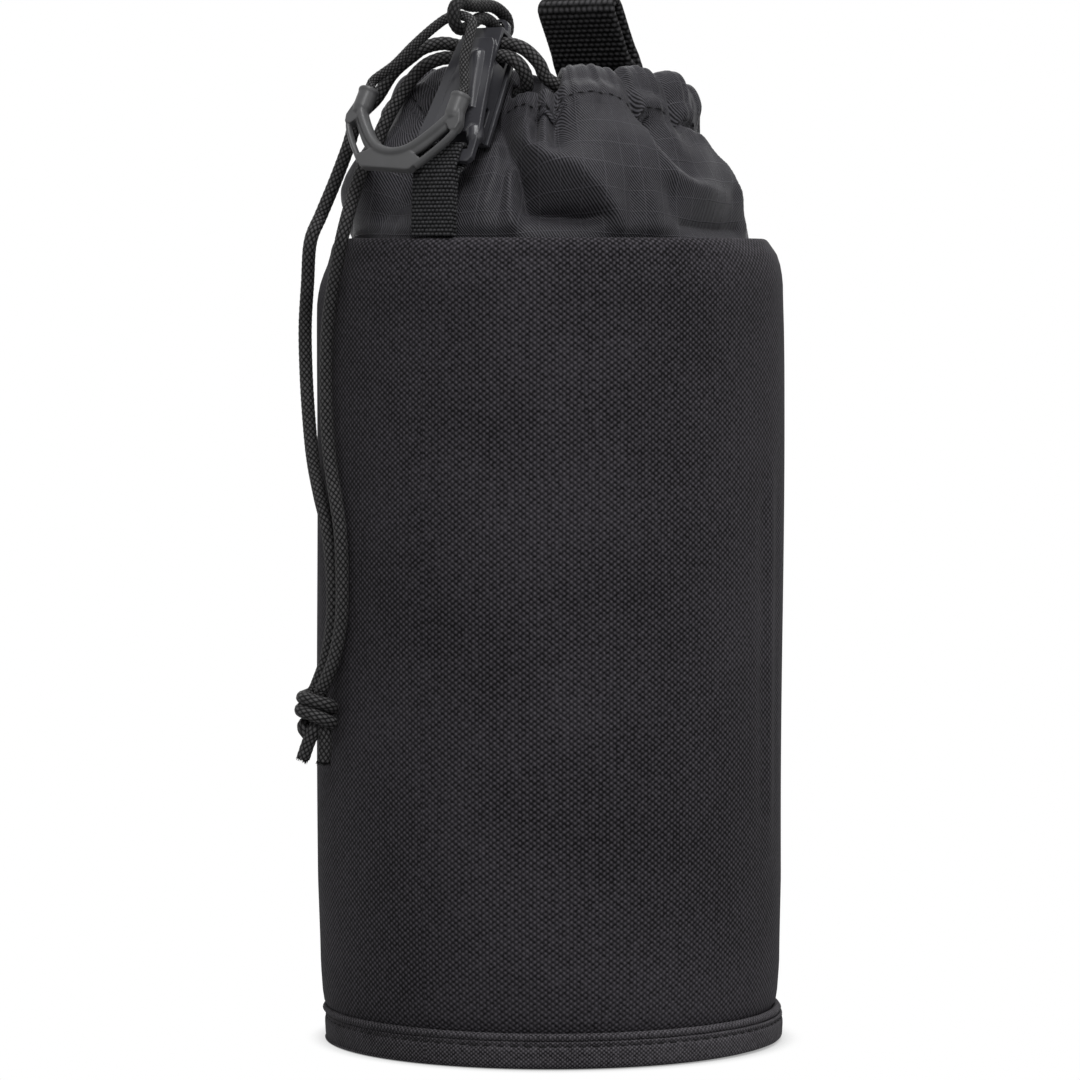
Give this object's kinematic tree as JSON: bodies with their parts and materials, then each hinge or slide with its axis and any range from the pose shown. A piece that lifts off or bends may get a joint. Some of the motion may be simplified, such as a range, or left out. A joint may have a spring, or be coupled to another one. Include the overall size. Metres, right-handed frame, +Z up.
{
  "type": "bottle pouch",
  "caption": "Padded cylindrical bottle pouch with a drawcord collar, sprung cord lock with a pull, webbing haul loop and a belt tab.",
  "frame": {"origin": "centre of the underside of the base, which stands on the ground", "axes": "+Z up through the mouth, the cord lock's side faces -Y and the belt tab's side +Y"},
  "size_m": [0.1024, 0.1121, 0.2295],
  "materials": {
    "body_cloth": "coarse plain weave, matte",
    "band_cloth": "grosgrain band, matte",
    "collar_cloth": "light ripstop, slight sheen",
    "lining_cloth": "smooth coated lining",
    "webbing": "woven webbing",
    "haul_webbing": "dense dark webbing",
    "cord": "braided cord",
    "foam": "closed-cell foam",
    "board": "stiffener sheet",
    "pull_plastic": "satin moulded",
    "lock_plastic": "smooth moulded",
    "hook_tape": "hook and loop tape",
    "spring_steel": "drawn wire"
  },
  "bodies": {
    "pouch": {"outer_shell": "body_cloth", "foam_wall": "foam", "inner_lining": "lining_cloth", "base_fabric": "body_cloth", "base_board": "board", "base_foam": "foam", "base_lining": "lining_cloth", "base_binding": "band_cloth", "base_piping": "band_cloth", "collar": "collar_cloth", "collar_hem": "collar_cloth", "lock_housing": "lock_plastic", "lock_back_plate": "lock_plastic", "lock_webbing": "webbing", "drawcord_loop": "cord", "drawcord_strand_a": "cord", "drawcord_strand_b": "cord", "drawcord_knot": "cord", "haul_strap": "haul_webbing", "tab_anchor": "webbing", "tab_loop_patch": "hook_tape", "lock_spring": "spring_steel"},
    "lock_slider": {"lock_slider": "lock_plastic"},
    "leash": {"leash_loop": "cord"},
    "pull": {"pull_grip": "pull_plastic", "pull_cord": "cord"},
    "haul_loop": {"haul_loop": "haul_webbing"},
    "belt_tab": {"tab_lining": "webbing", "tab_stiffener": "board", "tab_web": "webbing", "tab_hook_patch": "hook_tape"}
  },
  "joints": [
    {"name": "lock_release", "type": "slide", "parent": "pouch", "child": "lock_slider", "axis": [0, 0.4848, 0.8746], "range_m": [0, 0.003], "stiffness_N_per_m": 400, "springref_m": -0.004, "deforming": ["lock_spring"]},
    {"name": "leash_swing", "type": "hinge", "parent": "lock_slider", "child": "leash", "pos_m": [0.001, -0.02296, 0.22059], "axis": [0, -0.8746, 0.4848], "range_deg": [-30, 30]},
    {"name": "pull_lift", "type": "hinge", "parent": "leash", "child": "pull", "pos_m": [0.001, -0.0375, 0.2233], "axis": [-1, 0, 0], "range_deg": [0, 110]},
    {"name": "haul_loop_fold", "type": "hinge", "parent": "pouch", "child": "haul_loop", "pos_m": [-0.0025, 0.0276, 0.2122], "axis": [1, 0, 0], "range_deg": [-80, 25], "stiffness_Nm_per_rad": 0.002},
    {"name": "belt_tab_open", "type": "hinge", "parent": "pouch", "child": "belt_tab", "pos_m": [0, 0.0576, 0.1586], "axis": [1, 0, 0], "range_deg": [0, 150]}
  ]
}
